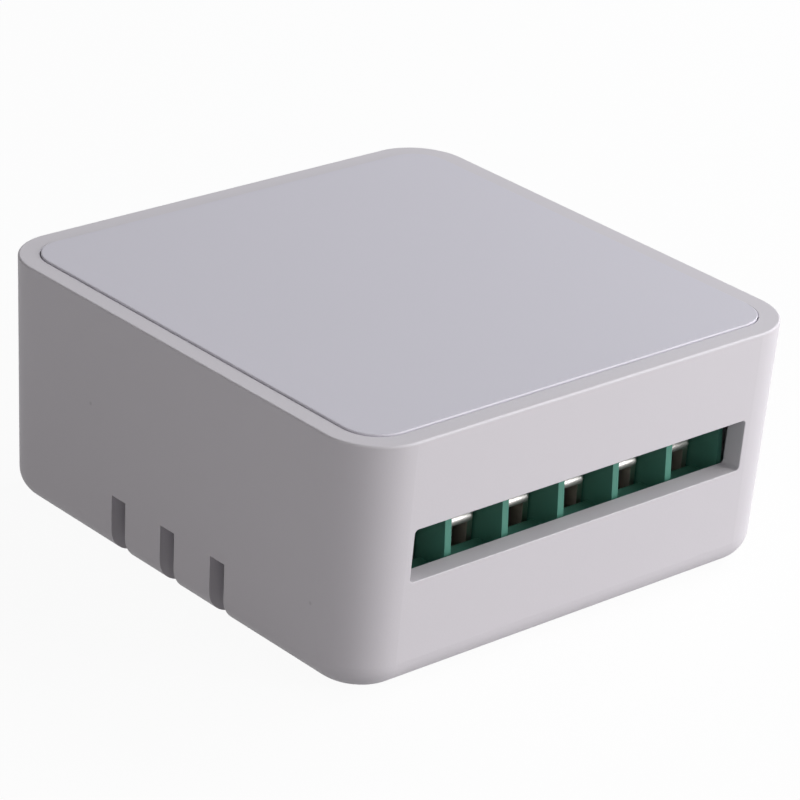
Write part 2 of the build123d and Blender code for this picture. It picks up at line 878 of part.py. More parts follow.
# Solder fillets, one cone round each lead on the board's back
with BuildPart() as solder_joints:
    for lead_x, lead_y, radius in leads:
        with Locations((lead_x, lead_y, board_top + solder_height / 2)):
            Cone(radius + solder_foot, radius + solder_neck, solder_height)
        rod(lead_x, lead_y, radius, (board_top, board_top + solder_height), Mode.SUBTRACT)
save(solder_joints, "solder_joints")
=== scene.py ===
"""Finishes, small pieces, studio and camera for a smart curtain switch module.

The solids come packed, in metres, with +Z up to the back cover and -Y out of the wire slot.
"""

import logging
import math
from dataclasses import dataclass, replace
from enum import Enum

import bmesh
import bpy
from mathutils import Matrix, Vector

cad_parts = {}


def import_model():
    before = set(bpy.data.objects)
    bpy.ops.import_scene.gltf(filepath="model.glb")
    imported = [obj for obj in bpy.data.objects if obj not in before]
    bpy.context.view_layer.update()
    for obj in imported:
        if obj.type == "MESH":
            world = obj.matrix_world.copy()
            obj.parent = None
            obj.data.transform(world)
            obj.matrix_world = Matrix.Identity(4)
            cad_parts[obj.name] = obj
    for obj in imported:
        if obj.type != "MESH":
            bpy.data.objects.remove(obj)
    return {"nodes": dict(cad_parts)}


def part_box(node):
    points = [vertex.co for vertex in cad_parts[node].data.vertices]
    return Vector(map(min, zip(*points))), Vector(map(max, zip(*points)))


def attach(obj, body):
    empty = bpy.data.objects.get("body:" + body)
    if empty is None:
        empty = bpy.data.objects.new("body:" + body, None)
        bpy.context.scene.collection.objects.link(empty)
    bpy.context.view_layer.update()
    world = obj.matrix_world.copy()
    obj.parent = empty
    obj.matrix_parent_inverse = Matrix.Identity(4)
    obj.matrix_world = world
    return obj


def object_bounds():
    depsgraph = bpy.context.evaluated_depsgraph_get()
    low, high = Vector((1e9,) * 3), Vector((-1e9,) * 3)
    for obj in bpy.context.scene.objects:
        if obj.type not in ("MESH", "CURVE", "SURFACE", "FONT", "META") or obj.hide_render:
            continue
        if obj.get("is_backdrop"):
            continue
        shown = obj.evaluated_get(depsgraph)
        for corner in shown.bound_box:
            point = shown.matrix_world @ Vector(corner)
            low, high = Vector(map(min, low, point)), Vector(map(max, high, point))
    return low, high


LOG = logging.getLogger("curtain_switch")
MM = 0.001
HOUSING_BODY = "housing"
FAR = 1.0
MERGE_DISTANCE = 0.0005 * MM
PLACE_DIGITS = 5
MIX_COLOUR_INPUTS = (0, 6, 7)
MIX_COLOUR_OUTPUT = 2
WHITE = (1.0, 1.0, 1.0, 1.0)

Colour = tuple[float, float, float]
Point = tuple[float, float, float]
Box = tuple[Vector, Vector]
Nodes = dict[str, bpy.types.Object]


class GrainAxis(Enum):
    """Direction that brushing, drawing or winding marks run in."""

    X = (0.06, 1.0, 1.0)
    Y = (1.0, 0.06, 1.0)
    Z = (1.0, 1.0, 0.06)


def opaque(colour: Colour) -> tuple[float, float, float, float]:
    """Return a colour with full alpha."""
    return (*colour, 1.0)


class NodeGraph:
    """Short calls that add nodes to a tree and join them."""

    def __init__(self, tree: bpy.types.NodeTree) -> None:
        """Keep the tree that the calls work on.

        Args:
            tree: The material, world or group tree.
        """
        self.tree = tree

    def add(self, kind: str, **settings: object) -> bpy.types.Node:
        """Add a node and set its properties.

        Args:
            kind: The node's type name.
            **settings: Property names and values of the node.

        Returns:
            The new node.
        """
        node = self.tree.nodes.new(kind)
        for name, value in settings.items():
            setattr(node, name, value)
        return node

    def feed(self, node: bpy.types.Node, **values: object) -> bpy.types.Node:
        """Set or join a node's inputs by name, with underscores for spaces.

        Args:
            node: The node whose inputs are fed.
            **values: Input names with a constant or an output socket each.

        Returns:
            The same node.
        """
        for name, value in values.items():
            self.join(value, node.inputs[name.replace("_", " ")])
        return node

    def fill(self, node: bpy.types.Node, *values: object) -> bpy.types.NodeSocket:
        """Set or join a node's first inputs in order.

        Args:
            node: The node whose inputs are filled.
            *values: A constant or an output socket for each input.

        Returns:
            The node's first output.
        """
        for socket, value in zip(node.inputs, values):
            self.join(value, socket)
        return node.outputs[0]

    def join(self, value: object, socket: bpy.types.NodeSocket) -> None:
        """Join an output to a socket, or set the socket's own value.

        Args:
            value: An output socket or a constant.
            socket: The input socket.
        """
        if isinstance(value, bpy.types.NodeSocket):
            self.tree.links.new(value, socket)
        else:
            socket.default_value = value

    def maths(self, operation: str, *values: object) -> bpy.types.NodeSocket:
        """Return two values combined by a Math node's operation."""
        return self.fill(self.add("ShaderNodeMath", operation=operation), *values)

    def vector(self, operation: str, *values: object) -> bpy.types.NodeSocket:
        """Return vectors combined by a Vector Math node's operation."""
        return self.fill(self.add("ShaderNodeVectorMath", operation=operation), *values)

    def mixed(self, share: object, first: object, second: object) -> bpy.types.NodeSocket:
        """Return two shaders mixed by the second one's share."""
        return self.fill(self.add("ShaderNodeMixShader"), share, first, second)

    def spread(self, value: object, low: object, high: object) -> bpy.types.NodeSocket:
        """Return a 0..1 value mapped to low..high."""
        node = self.feed(self.add("ShaderNodeMapRange"), Value=value, To_Min=low, To_Max=high)
        return node.outputs["Result"]

    def ramp(self, value: object, low: float, high: float) -> bpy.types.NodeSocket:
        """Return a smooth mask, 0 where a value is at low and 1 where it is at high."""
        node = self.add("ShaderNodeMapRange", interpolation_type="SMOOTHSTEP")
        return self.feed(node, Value=value, From_Min=low, From_Max=high).outputs["Result"]

    def blend(self, mask: object, first: object, second: object) -> bpy.types.NodeSocket:
        """Mix two colours by a mask.

        Args:
            mask: Share of the second colour.
            first: The colour at 0.
            second: The colour at 1.

        Returns:
            The mixed colour's socket.
        """
        node = self.add("ShaderNodeMix", data_type="RGBA")
        for number, value in zip(MIX_COLOUR_INPUTS, (mask, first, second)):
            self.join(value, node.inputs[number])
        return node.outputs[MIX_COLOUR_OUTPUT]

    def scaled(self, vector: object, scale: Point) -> bpy.types.NodeSocket:
        """Return coordinates stretched by a factor along each axis."""
        node = self.feed(self.add("ShaderNodeMapping"), Vector=vector, Scale=scale)
        return node.outputs["Vector"]

    def bands(
        self, vector: object, period: float, direction: str, wobble: float
    ) -> bpy.types.NodeSocket:
        """Add even ridges, such as the turns of a coil.

        Args:
            vector: The coordinates' socket.
            period: Distance from ridge to ridge in metres.
            direction: The axis that the ridges follow one another along.
            wobble: How uneven the ridges are.

        Returns:
            The ridges' socket, 0..1.
        """
        cycles_per_unit = 20 / (2 * math.pi)
        node = self.add("ShaderNodeTexWave", wave_type="BANDS", bands_direction=direction)
        self.feed(node, Vector=vector, Scale=1 / (period * cycles_per_unit), Distortion=wobble)
        return node.outputs["Fac"]

    def noise(self, vector: object, scale: object, detail: float = 2.0) -> bpy.types.NodeSocket:
        """Return fractal noise of so many cells a metre, with octaves of finer detail."""
        node = self.add("ShaderNodeTexNoise")
        return self.feed(node, Vector=vector, Scale=scale, Detail=detail).outputs["Fac"]


class EffectGroup:
    """A shader node group that is built once and placed in many materials."""

    name = "effect"
    inputs: tuple[tuple[str, str, object], ...] = ()
    outputs: tuple[tuple[str, str], ...] = ()

    def tree(self) -> bpy.types.NodeTree:
        """Return the group's tree, built on first use."""
        found = bpy.data.node_groups.get(self.name)
        if found is not None:
            return found
        tree = bpy.data.node_groups.new(self.name, "ShaderNodeTree")
        for label, kind, default in self.inputs:
            socket = tree.interface.new_socket(label, in_out="INPUT", socket_type=kind)
            if default is not None:
                socket.default_value = default
        for label, kind in self.outputs:
            tree.interface.new_socket(label, in_out="OUTPUT", socket_type=kind)
        graph = NodeGraph(tree)
        source = graph.add("NodeGroupInput")
        sink = graph.add("NodeGroupOutput")
        self.wire(graph, source.outputs, sink)
        return tree

    def wire(self, graph: NodeGraph, given: object, sink: bpy.types.Node) -> None:
        """Build the group's inside.

        Args:
            graph: The group's tree.
            given: The group's inputs, as output sockets by name.
            sink: The group's output node.
        """
        raise NotImplementedError

    def place(self, graph: NodeGraph, **values: object) -> bpy.types.Node:
        """Return the group's node, placed in a material and fed by input names."""
        return graph.feed(graph.add("ShaderNodeGroup", node_tree=self.tree()), **values)


class MouldedGrain(EffectGroup):
    """Spark-eroded mould texture with faint flow clouds under it."""

    name = "moulded_grain"
    inputs = (
        ("Vector", "NodeSocketVector", None),
        ("Colour", "NodeSocketColor", (0.8, 0.8, 0.8, 1.0)),
        ("Grain Scale", "NodeSocketFloat", 6000.0),
        ("Cloud Scale", "NodeSocketFloat", 90.0),
        ("Cloud Share", "NodeSocketFloat", 0.05),
        ("Low Roughness", "NodeSocketFloat", 0.45),
        ("High Roughness", "NodeSocketFloat", 0.6),
    )
    outputs = (
        ("Colour", "NodeSocketColor"),
        ("Roughness", "NodeSocketFloat"),
        ("Height", "NodeSocketFloat"),
    )
    cloud_value = 0.72

    def wire(self, graph: NodeGraph, given: object, sink: bpy.types.Node) -> None:
        """Build the grain and the clouds.

        Args:
            graph: The group's tree.
            given: The group's inputs, as output sockets by name.
            sink: The group's output node.
        """
        grain = graph.noise(given["Vector"], given["Grain Scale"], detail=3.0)
        clouds = graph.noise(given["Vector"], given["Cloud Scale"], detail=2.0)
        dark_share = graph.maths("MULTIPLY", clouds, given["Cloud Share"])
        darker = graph.add("ShaderNodeHueSaturation")
        graph.feed(darker, Color=given["Colour"], Value=self.cloud_value)
        colour = graph.blend(dark_share, given["Colour"], darker.outputs["Color"])
        rough = graph.spread(grain, given["Low Roughness"], given["High Roughness"])
        graph.feed(sink, Colour=colour, Roughness=rough, Height=grain)


class DustSpecks(EffectGroup):
    """Sparse specks of dust, a tenth of a millimetre or so across."""

    name = "dust_specks"
    inputs = (
        ("Vector", "NodeSocketVector", None),
        ("Cell Scale", "NodeSocketFloat", 260.0),
        ("Rarity", "NodeSocketFloat", 0.9),
    )
    outputs = (("Mask", "NodeSocketFloat"),)
    speck_edges = (0.055, 0.02)

    def wire(self, graph: NodeGraph, given: object, sink: bpy.types.Node) -> None:
        """Build the specks from random cells.

        Args:
            graph: The group's tree.
            given: The group's inputs, as output sockets by name.
            sink: The group's output node.
        """
        cells = graph.add("ShaderNodeTexVoronoi")
        graph.feed(cells, Vector=given["Vector"], Scale=given["Cell Scale"])
        spot = graph.ramp(cells.outputs["Distance"], *self.speck_edges)
        parts = graph.add("ShaderNodeSeparateColor")
        graph.join(cells.outputs["Color"], parts.inputs[0])
        chosen = graph.maths("GREATER_THAN", parts.outputs[0], given["Rarity"])
        graph.feed(sink, Mask=graph.maths("MULTIPLY", spot, chosen))


class DrawnMarks(EffectGroup):
    """Fine marks along one direction, with smudges that dull the metal."""

    name = "drawn_marks"
    inputs = (
        ("Vector", "NodeSocketVector", None),
        ("Mark Scale", "NodeSocketFloat", 5000.0),
        ("Smudge Scale", "NodeSocketFloat", 500.0),
        ("Low Roughness", "NodeSocketFloat", 0.25),
        ("High Roughness", "NodeSocketFloat", 0.45),
    )
    outputs = (
        ("Roughness", "NodeSocketFloat"),
        ("Height", "NodeSocketFloat"),
        ("Smudge", "NodeSocketFloat"),
    )
    smudge_edges = (0.35, 0.7)

    def wire(self, graph: NodeGraph, given: object, sink: bpy.types.Node) -> None:
        """Build the marks and smudges from stretched noise.

        Args:
            graph: The group's tree.
            given: The group's inputs, as output sockets by name.
            sink: The group's output node.
        """
        marks = graph.noise(given["Vector"], given["Mark Scale"], detail=4.0)
        blots = graph.noise(given["Vector"], given["Smudge Scale"])
        smudge = graph.ramp(blots, *self.smudge_edges)
        mixed = graph.maths("MULTIPLY", graph.maths("ADD", marks, smudge), 0.5)
        rough = graph.spread(mixed, given["Low Roughness"], given["High Roughness"])
        graph.feed(sink, Roughness=rough, Height=marks, Smudge=smudge)


class OutsideBox(EffectGroup):
    """Mask of what lies outside a box, such as the bare leads of a coated part."""

    name = "outside_box"
    inputs = (
        ("Vector", "NodeSocketVector", None),
        ("Centre", "NodeSocketVector", None),
        ("Half", "NodeSocketVector", None),
    )
    outputs = (("Mask", "NodeSocketFloat"),)

    def wire(self, graph: NodeGraph, given: object, sink: bpy.types.Node) -> None:
        """Build the mask from the distance past each pair of sides.

        Args:
            graph: The group's tree.
            given: The group's inputs, as output sockets by name.
            sink: The group's output node.
        """
        offset = graph.vector("SUBTRACT", given["Vector"], given["Centre"])
        past = graph.vector("SUBTRACT", graph.vector("ABSOLUTE", offset), given["Half"])
        sides = graph.add("ShaderNodeSeparateXYZ")
        graph.join(past, sides.inputs[0])
        widest = graph.maths("MAXIMUM", sides.outputs[0], sides.outputs[1])
        widest = graph.maths("MAXIMUM", widest, sides.outputs[2])
        graph.feed(sink, Mask=graph.maths("GREATER_THAN", widest, 0.0))


GRAIN = MouldedGrain()
DUST = DustSpecks()
MARKS = DrawnMarks()
OUTSIDE = OutsideBox()


class MaterialGraph(NodeGraph):
    """A material's tree, with its shader and the object coordinates at hand."""

    def __init__(self, material: bpy.types.Material) -> None:
        """Find the shader and add the coordinates.

        Args:
            material: The material, whose nodes are in use.
        """
        super().__init__(material.node_tree)
        self.shader = self.tree.nodes["Principled BSDF"]
        self.place = self.add("ShaderNodeTexCoord").outputs["Object"]

    def outside(self, low: Point, high: Point) -> bpy.types.NodeSocket:
        """Return a mask of what lies outside a box.

        Args:
            low: The box's lowest corner in metres.
            high: The box's highest corner in metres.

        Returns:
            The mask's socket, 1 outside.
        """
        centre = tuple((first + last) / 2 for first, last in zip(low, high))
        half = tuple((last - first) / 2 for first, last in zip(low, high))
        return OUTSIDE.place(self, Vector=self.place, Centre=centre, Half=half).outputs["Mask"]

    def bump(self, height: object, depth: float) -> None:
        """Raise the surface by a height pattern.

        Args:
            height: The height's socket, 0..1.
            depth: Height of the pattern in metres.
        """
        node = self.add("ShaderNodeBump")
        self.feed(node, Height=height, Distance=depth, Strength=1.0)
        self.join(node.outputs["Normal"], self.shader.inputs["Normal"])


@dataclass(frozen=True)
class Finish:
    """A named finish that makes its own material."""

    name: str
    colour: Colour

    def material(self) -> bpy.types.Material:
        """Return the finish's material, built on first use."""
        label = f"finish_{self.name}"
        found = bpy.data.materials.get(label)
        if found is not None:
            return found
        material = bpy.data.materials.new(label)
        material.use_nodes = True
        self.wire(MaterialGraph(material))
        return material

    def wire(self, graph: MaterialGraph) -> None:
        """Join the finish's nodes to the shader.

        Args:
            graph: The material's tree.
        """
        raise NotImplementedError


@dataclass(frozen=True)
class MouldedPlastic(Finish):
    """Injection moulded plastic with mould grain and, where open to the room, dust."""

    roughness: tuple[float, float] = (0.45, 0.62)
    grain_size: float = 0.16 * MM
    grain_depth: float = 0.004 * MM
    cloud_size: float = 11.0 * MM
    cloud_share: float = 0.08
    dust_share: float = 0.0
    dust_colour: Colour = (0.25, 0.24, 0.25)
    refraction: float = 1.5
    body: tuple[Point, Point] | None = None
    lead_colour: Colour = (0.72, 0.71, 0.68)
    lead_roughness: float = 0.3

    def wire(self, graph: MaterialGraph) -> None:
        """Join grain, clouds, dust and bare leads to the shader.

        Args:
            graph: The material's tree.
        """
        grain = GRAIN.place(
            graph,
            Vector=graph.place,
            Colour=opaque(self.colour),
            Grain_Scale=1 / self.grain_size,
            Cloud_Scale=1 / self.cloud_size,
            Cloud_Share=self.cloud_share,
            Low_Roughness=self.roughness[0],
            High_Roughness=self.roughness[1],
        )
        colour = grain.outputs["Colour"]
        if self.dust_share > 0:
            specks = DUST.place(graph, Vector=graph.place).outputs["Mask"]
            share = graph.maths("MULTIPLY", specks, self.dust_share)
            colour = graph.blend(share, colour, opaque(self.dust_colour))
        rough = grain.outputs["Roughness"]
        if self.body is not None:
            bare = graph.outside(*self.body)
            colour = graph.blend(bare, colour, opaque(self.lead_colour))
            rough = graph.spread(bare, rough, self.lead_roughness)
            graph.feed(graph.shader, Metallic=bare)
        graph.feed(graph.shader, Base_Color=colour, Roughness=rough, IOR=self.refraction)
        graph.bump(grain.outputs["Height"], self.grain_depth)


@dataclass(frozen=True)
class PlatedMetal(Finish):
    """Plated or bare metal with drawing marks and dull smudges."""

    roughness: tuple[float, float] = (0.24, 0.45)
    axis: GrainAxis = GrainAxis.Y
    mark_size: float = 0.12 * MM
    mark_depth: float = 0.002 * MM
    smudge_size: float = 1.6 * MM
    smudge_colour: Colour = (0.42, 0.40, 0.37)
    smudge_share: float = 0.35

    def wire(self, graph: MaterialGraph) -> None:
        """Join marks and smudges to the shader.

        Args:
            graph: The material's tree.
        """
        marks = MARKS.place(
            graph,
            Vector=graph.scaled(graph.place, self.axis.value),
            Mark_Scale=1 / self.mark_size,
            Smudge_Scale=1 / self.smudge_size,
            Low_Roughness=self.roughness[0],
            High_Roughness=self.roughness[1],
        )
        share = graph.maths("MULTIPLY", marks.outputs["Smudge"], self.smudge_share)
        colour = graph.blend(share, opaque(self.colour), opaque(self.smudge_colour))
        rough = marks.outputs["Roughness"]
        graph.feed(graph.shader, Base_Color=colour, Roughness=rough, Metallic=1.0)
        graph.bump(*self.relief(graph, marks.outputs["Height"]))

    def relief(self, graph: MaterialGraph, marks: object) -> tuple[object, float]:
        """Return the surface's height pattern and its depth in metres.

        Args:
            graph: The material's tree.
            marks: The drawing marks' socket.

        Returns:
            The pattern's socket and its depth.
        """
        return marks, self.mark_depth


@dataclass(frozen=True)
class ScoredCan(PlatedMetal):
    """Aluminium can top with a pressed cross that opens under pressure."""

    centres: tuple[tuple[float, float], ...] = ()
    arm: float = 1.6 * MM
    line: float = 0.09 * MM
    line_depth: float = 0.08 * MM
    mark_low: float = 0.94

    def relief(self, graph: MaterialGraph, marks: object) -> tuple[object, float]:
        """Return the top's surface with the cross pressed in.

        Args:
            graph: The material's tree.
            marks: The drawing marks' socket.

        Returns:
            The pattern's socket and its depth.
        """
        height = graph.spread(marks, self.mark_low, 1.0)
        for x, y in self.centres:
            for reach_x, reach_y in ((self.arm, self.line), (self.line, self.arm)):
                low = (x - reach_x, y - reach_y, -FAR)
                high = (x + reach_x, y + reach_y, FAR)
                height = graph.maths("MULTIPLY", height, graph.outside(low, high))
        return height, self.line_depth


@dataclass(frozen=True)
class CircuitLaminate(Finish):
    """Solder mask over copper: the copper areas show lighter, with a step at their edges."""

    copper_colour: Colour = (0.07, 0.34, 0.15)
    area_size: float = 3.4 * MM
    area_scatter: float = 0.75
    gap_width: float = 0.055
    gap_edge: float = 0.02
    step_height: float = 0.03 * MM
    wave_size: float = 0.9 * MM
    roughness: tuple[float, float] = (0.22, 0.34)

    def wire(self, graph: MaterialGraph) -> None:
        """Join copper areas and the mask's gloss to the shader.

        Args:
            graph: The material's tree.
        """
        areas = graph.add("ShaderNodeTexVoronoi", feature="DISTANCE_TO_EDGE")
        scale = 1 / self.area_size
        graph.feed(areas, Vector=graph.place, Scale=scale, Randomness=self.area_scatter)
        gap_end = self.gap_width + self.gap_edge
        copper = graph.ramp(areas.outputs["Distance"], self.gap_width, gap_end)
        colour = graph.blend(copper, opaque(self.colour), opaque(self.copper_colour))
        rough = graph.spread(graph.noise(graph.place, 1 / self.wave_size), *self.roughness)
        graph.feed(graph.shader, Base_Color=colour, Roughness=rough)
        graph.bump(copper, self.step_height)


@dataclass(frozen=True)
class WoundWire(Finish):
    """Enamelled copper wire in close turns along one axis, with painted shade darkening the grooves
    between turns.
    """

    wire_size: float = 0.18 * MM
    turns_along: GrainAxis = GrainAxis.Y
    wobble: float = 0.4
    # Share of the wire's colour left in the grooves between turns: painted shade.
    turn_gap_shade_share: float = 0.35
    roughness: tuple[float, float] = (0.42, 0.22)
    metallic: float = 0.7
    ridge_share: float = 0.3

    def wire(self, graph: MaterialGraph) -> None:
        """Join the turns' ridges to the shader, with the grooves between turns darkened as painted
        shade.

        Args:
            graph: The material's tree.
        """
        ridge = graph.bands(graph.place, self.wire_size, self.turns_along.name, self.wobble)
        # Painted shade: the grooves between turns take a darker copy of the wire's colour.
        painted_groove_shade = tuple(self.turn_gap_shade_share * part for part in self.colour)
        colour = graph.blend(ridge, opaque(painted_groove_shade), opaque(self.colour))
        rough = graph.spread(ridge, *self.roughness)
        graph.feed(graph.shader, Base_Color=colour, Roughness=rough, Metallic=self.metallic)
        graph.bump(ridge, self.ridge_share * self.wire_size)


@dataclass(frozen=True)
class ClearPlastic(Finish):
    """Clear moulded plastic with a faintly uneven surface."""

    roughness: tuple[float, float] = (0.08, 0.18)
    wave_size: float = 0.7 * MM
    wave_colour: Colour = (0.86, 0.88, 0.88)
    wave_depth: float = 0.003 * MM
    transmission: float = 0.85
    refraction: float = 1.58

    def wire(self, graph: MaterialGraph) -> None:
        """Join the surface's unevenness to the shader.

        Args:
            graph: The material's tree.
        """
        waves = graph.noise(graph.place, 1 / self.wave_size)
        rough = graph.spread(waves, *self.roughness)
        tint = graph.blend(waves, opaque(self.colour), opaque(self.wave_colour))
        graph.feed(graph.shader, Base_Color=tint, Roughness=rough, IOR=self.refraction)
        graph.feed(graph.shader, Transmission_Weight=self.transmission)
        graph.bump(waves, self.wave_depth)


WHITE_ABS = MouldedPlastic(
    "housing_plastic", (0.705, 0.675, 0.715), dust_share=0.25, cloud_share=0.06
)
COVER_ABS = MouldedPlastic(
    "cover_plastic", (0.70, 0.68, 0.75), dust_share=0.5, cloud_share=0.05
)
TERMINAL_GREEN = MouldedPlastic(
    "terminal_plastic",
    (0.085, 0.265, 0.205),
    roughness=(0.4, 0.55),
    grain_depth=0.002 * MM,
    refraction=1.4,
)
BUTTON_ABS = MouldedPlastic("button_plastic", (0.66, 0.655, 0.66))
PIN_METAL = PlatedMetal("pin_metal", (0.74, 0.73, 0.70), axis=GrainAxis.Z)
SOLDER = PlatedMetal(
    "solder", (0.66, 0.66, 0.67), roughness=(0.2, 0.36), mark_size=0.5 * MM, smudge_share=0.2
)
CHIP_EPOXY = MouldedPlastic(
    "chip_epoxy", (0.018, 0.018, 0.02), roughness=(0.45, 0.6), grain_size=0.06 * MM
)
BOARD_LAMINATE = CircuitLaminate("board_laminate", (0.02, 0.13, 0.05))
RADIO_LAMINATE = CircuitLaminate(
    "radio_laminate", (0.008, 0.02, 0.06), copper_colour=(0.015, 0.05, 0.14)
)
TINNED_BRASS = PlatedMetal(
    "tinned_brass", (0.74, 0.72, 0.70), roughness=(0.4, 0.58), axis=GrainAxis.X
)
# Painted shade: the screws' steel is set darker than zinc-plated steel, because the screws sit deep
# in the shaded terminal cells.
SHADED_SCREW_STEEL = PlatedMetal(
    "screw_steel", (0.46, 0.44, 0.42), roughness=(0.35, 0.55), axis=GrainAxis.X
)
CAGE_BRASS = PlatedMetal("cage_brass", (0.66, 0.63, 0.56), axis=GrainAxis.Z)
MAGNET_STEEL = PlatedMetal("magnet_steel", (0.55, 0.54, 0.52), roughness=(0.3, 0.5))
CONTACT_ALLOY = PlatedMetal("contact_alloy", (0.80, 0.56, 0.36), axis=GrainAxis.Z)
SHIELD_METAL = PlatedMetal("shield_metal", (0.70, 0.71, 0.72), axis=GrainAxis.X)
RELAY_BLUE = MouldedPlastic("relay_case_plastic", (0.015, 0.07, 0.24), roughness=(0.28, 0.4))
RELAY_BASE = MouldedPlastic("relay_base_plastic", (0.02, 0.02, 0.022))
BOBBIN = MouldedPlastic("bobbin_plastic", (0.62, 0.60, 0.52))
SWITCH_BODY = MouldedPlastic("switch_body_plastic", (0.016, 0.016, 0.016))
SWITCH_STEM = MouldedPlastic("switch_stem_plastic", (0.03, 0.03, 0.03), roughness=(0.3, 0.45))
LED_LENS = MouldedPlastic("led_lens", (0.72, 0.74, 0.52), roughness=(0.18, 0.3))
CAN_SLEEVE = MouldedPlastic("capacitor_sleeve", (0.018, 0.018, 0.024), roughness=(0.2, 0.32))
FERRITE = MouldedPlastic(
    "ferrite", (0.045, 0.045, 0.05), roughness=(0.5, 0.75), grain_depth=0.012 * MM
)
VARISTOR_COAT = MouldedPlastic("varistor_coat", (0.02, 0.10, 0.32), roughness=(0.25, 0.4))
RESISTOR_COAT = MouldedPlastic("resistor_coat", (0.16, 0.28, 0.18), roughness=(0.55, 0.75))
FILM_CASE = MouldedPlastic("film_case", (0.62, 0.46, 0.05), roughness=(0.35, 0.5))
CERAMIC = MouldedPlastic("passive_ceramic", (0.30, 0.21, 0.13), grain_size=0.05 * MM)
COIL_WIRE = WoundWire("copper_winding", (0.62, 0.22, 0.08))
CLEAR_PLASTIC = ClearPlastic("clear_plastic", (0.93, 0.95, 0.96))


def with_leads(finish: MouldedPlastic, label: str, low: Point, high: Point) -> MouldedPlastic:
    """Return a coated part's finish, bare metal outside the part's body.

    Args:
        finish: The coat.
        label: Name of the new finish.
        low: Lowest corner of the body's box in millimetres.
        high: Highest corner of the body's box in millimetres.

    Returns:
        The part's own finish.
    """
    box = tuple(tuple(MM * part for part in corner) for corner in (low, high))
    return replace(finish, name=label, body=box)


def loose_boxes(node: bpy.types.Object) -> list[Box]:
    """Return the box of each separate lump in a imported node.

    Args:
        node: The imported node's object.

    Returns:
        Lowest and highest corner of each lump, from left to right and front to back.
    """
    mesh = bmesh.new()
    mesh.from_mesh(node.data)
    bmesh.ops.remove_doubles(mesh, verts=mesh.verts, dist=MERGE_DISTANCE)
    waiting = set(mesh.verts)
    boxes = []
    while waiting:
        reached = [waiting.pop()]
        lump = []
        while reached:
            vertex = reached.pop()
            lump.append(vertex.co.copy())
            for edge in vertex.link_edges:
                other = edge.other_vert(vertex)
                if other in waiting:
                    waiting.remove(other)
                    reached.append(other)
        low = Vector(min(point[axis] for point in lump) for axis in range(3))
        high = Vector(max(point[axis] for point in lump) for axis in range(3))
        boxes.append((low, high))
    mesh.free()
    return sorted(boxes, key=lambda box: tuple(round(part, PLACE_DIGITS) for part in box[0][:2]))


def edges_of(vertices: list[bmesh.types.BMVert]) -> list[bmesh.types.BMEdge]:
    """Return every edge at some vertices once, in the same order each run."""
    return list(dict.fromkeys(edge for vertex in vertices for edge in vertex.link_edges))


def round_edges(mesh: bmesh.types.BMesh, edges: list[bmesh.types.BMEdge], radius: float) -> None:
    """Round some of a bmesh's edges to a radius in metres."""
    bmesh.ops.bevel(
        mesh, geom=edges, offset=radius, segments=2, profile=0.5, affect="EDGES", material=-1
    )


def add_rounded_block(mesh: bmesh.types.BMesh, low: Vector, high: Vector, edge: float) -> None:
    """Add a block with rounded edges to a bmesh.

    Args:
        mesh: The bmesh that is added to.
        low: The block's lowest corner.
        high: The block's highest corner.
        edge: Radius of the edges in metres.
    """
    size = high - low
    place = Matrix.Translation((low + high) / 2) @ Matrix.Diagonal((*size, 1.0))
    made = bmesh.ops.create_cube(mesh, size=1.0, matrix=place)
    round_edges(mesh, edges_of(made["verts"]), edge)


def new_object(name: str, data: bpy.types.ID) -> bpy.types.Object:
    """Make an object and link it to the scene.

    Args:
        name: The object's name.
        data: Its mesh, light or camera.

    Returns:
        The new object.
    """
    made = bpy.data.objects.new(name, data)
    bpy.context.scene.collection.objects.link(made)
    return made


def mesh_object(
    name: str, mesh: bmesh.types.BMesh, material: bpy.types.Material
) -> bpy.types.Object:
    """Turn a bmesh into an object of one material.

    Args:
        name: The name of the object and its mesh.
        mesh: The bmesh, freed here.
        material: The object's material.

    Returns:
        The new object.
    """
    data = bpy.data.meshes.new(name)
    mesh.to_mesh(data)
    mesh.free()
    data.materials.append(material)
    return new_object(name, data)


def finish_piece(
    name: str, mesh: bmesh.types.BMesh, finish: Finish, body: str
) -> None:
    """Turn a bmesh into a piece that rides on a body.

    Args:
        name: The piece's name.
        mesh: The bmesh, freed here.
        finish: The piece's finish.
        body: The body that carries the piece.
    """
    bmesh.ops.recalc_face_normals(mesh, faces=mesh.faces)
    piece = mesh_object(name, mesh, finish.material())
    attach(piece, body)
    LOG.info("made %s with %d faces", name, len(piece.data.polygons))


@dataclass
class SubAssembly:
    """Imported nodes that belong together, with the small pieces added to them."""

    def finishes(self) -> dict[str, Finish]:
        """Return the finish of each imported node."""
        raise NotImplementedError

    def build(self, nodes: Nodes) -> None:
        """Make the added pieces, none unless a sub-assembly has its own.

        Args:
            nodes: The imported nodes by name.
        """

    def dress(self, nodes: Nodes) -> None:
        """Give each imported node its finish.

        Args:
            nodes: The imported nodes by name.
        """
        for name, finish in self.finishes().items():
            for slot in nodes[name].material_slots:
                slot.material = finish.material()
            LOG.info("dressed %s in %s", name, finish.name)


@dataclass
class Housing(SubAssembly):
    """Tub, back cover, button and light pipe."""

    def finishes(self) -> dict[str, Finish]:
        """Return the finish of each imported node."""
        return {
            "housing_tub": WHITE_ABS,
            "lid_plate": COVER_ABS,
            "pairing_button": BUTTON_ABS,
            "light_pipe": CLEAR_PLASTIC,
        }


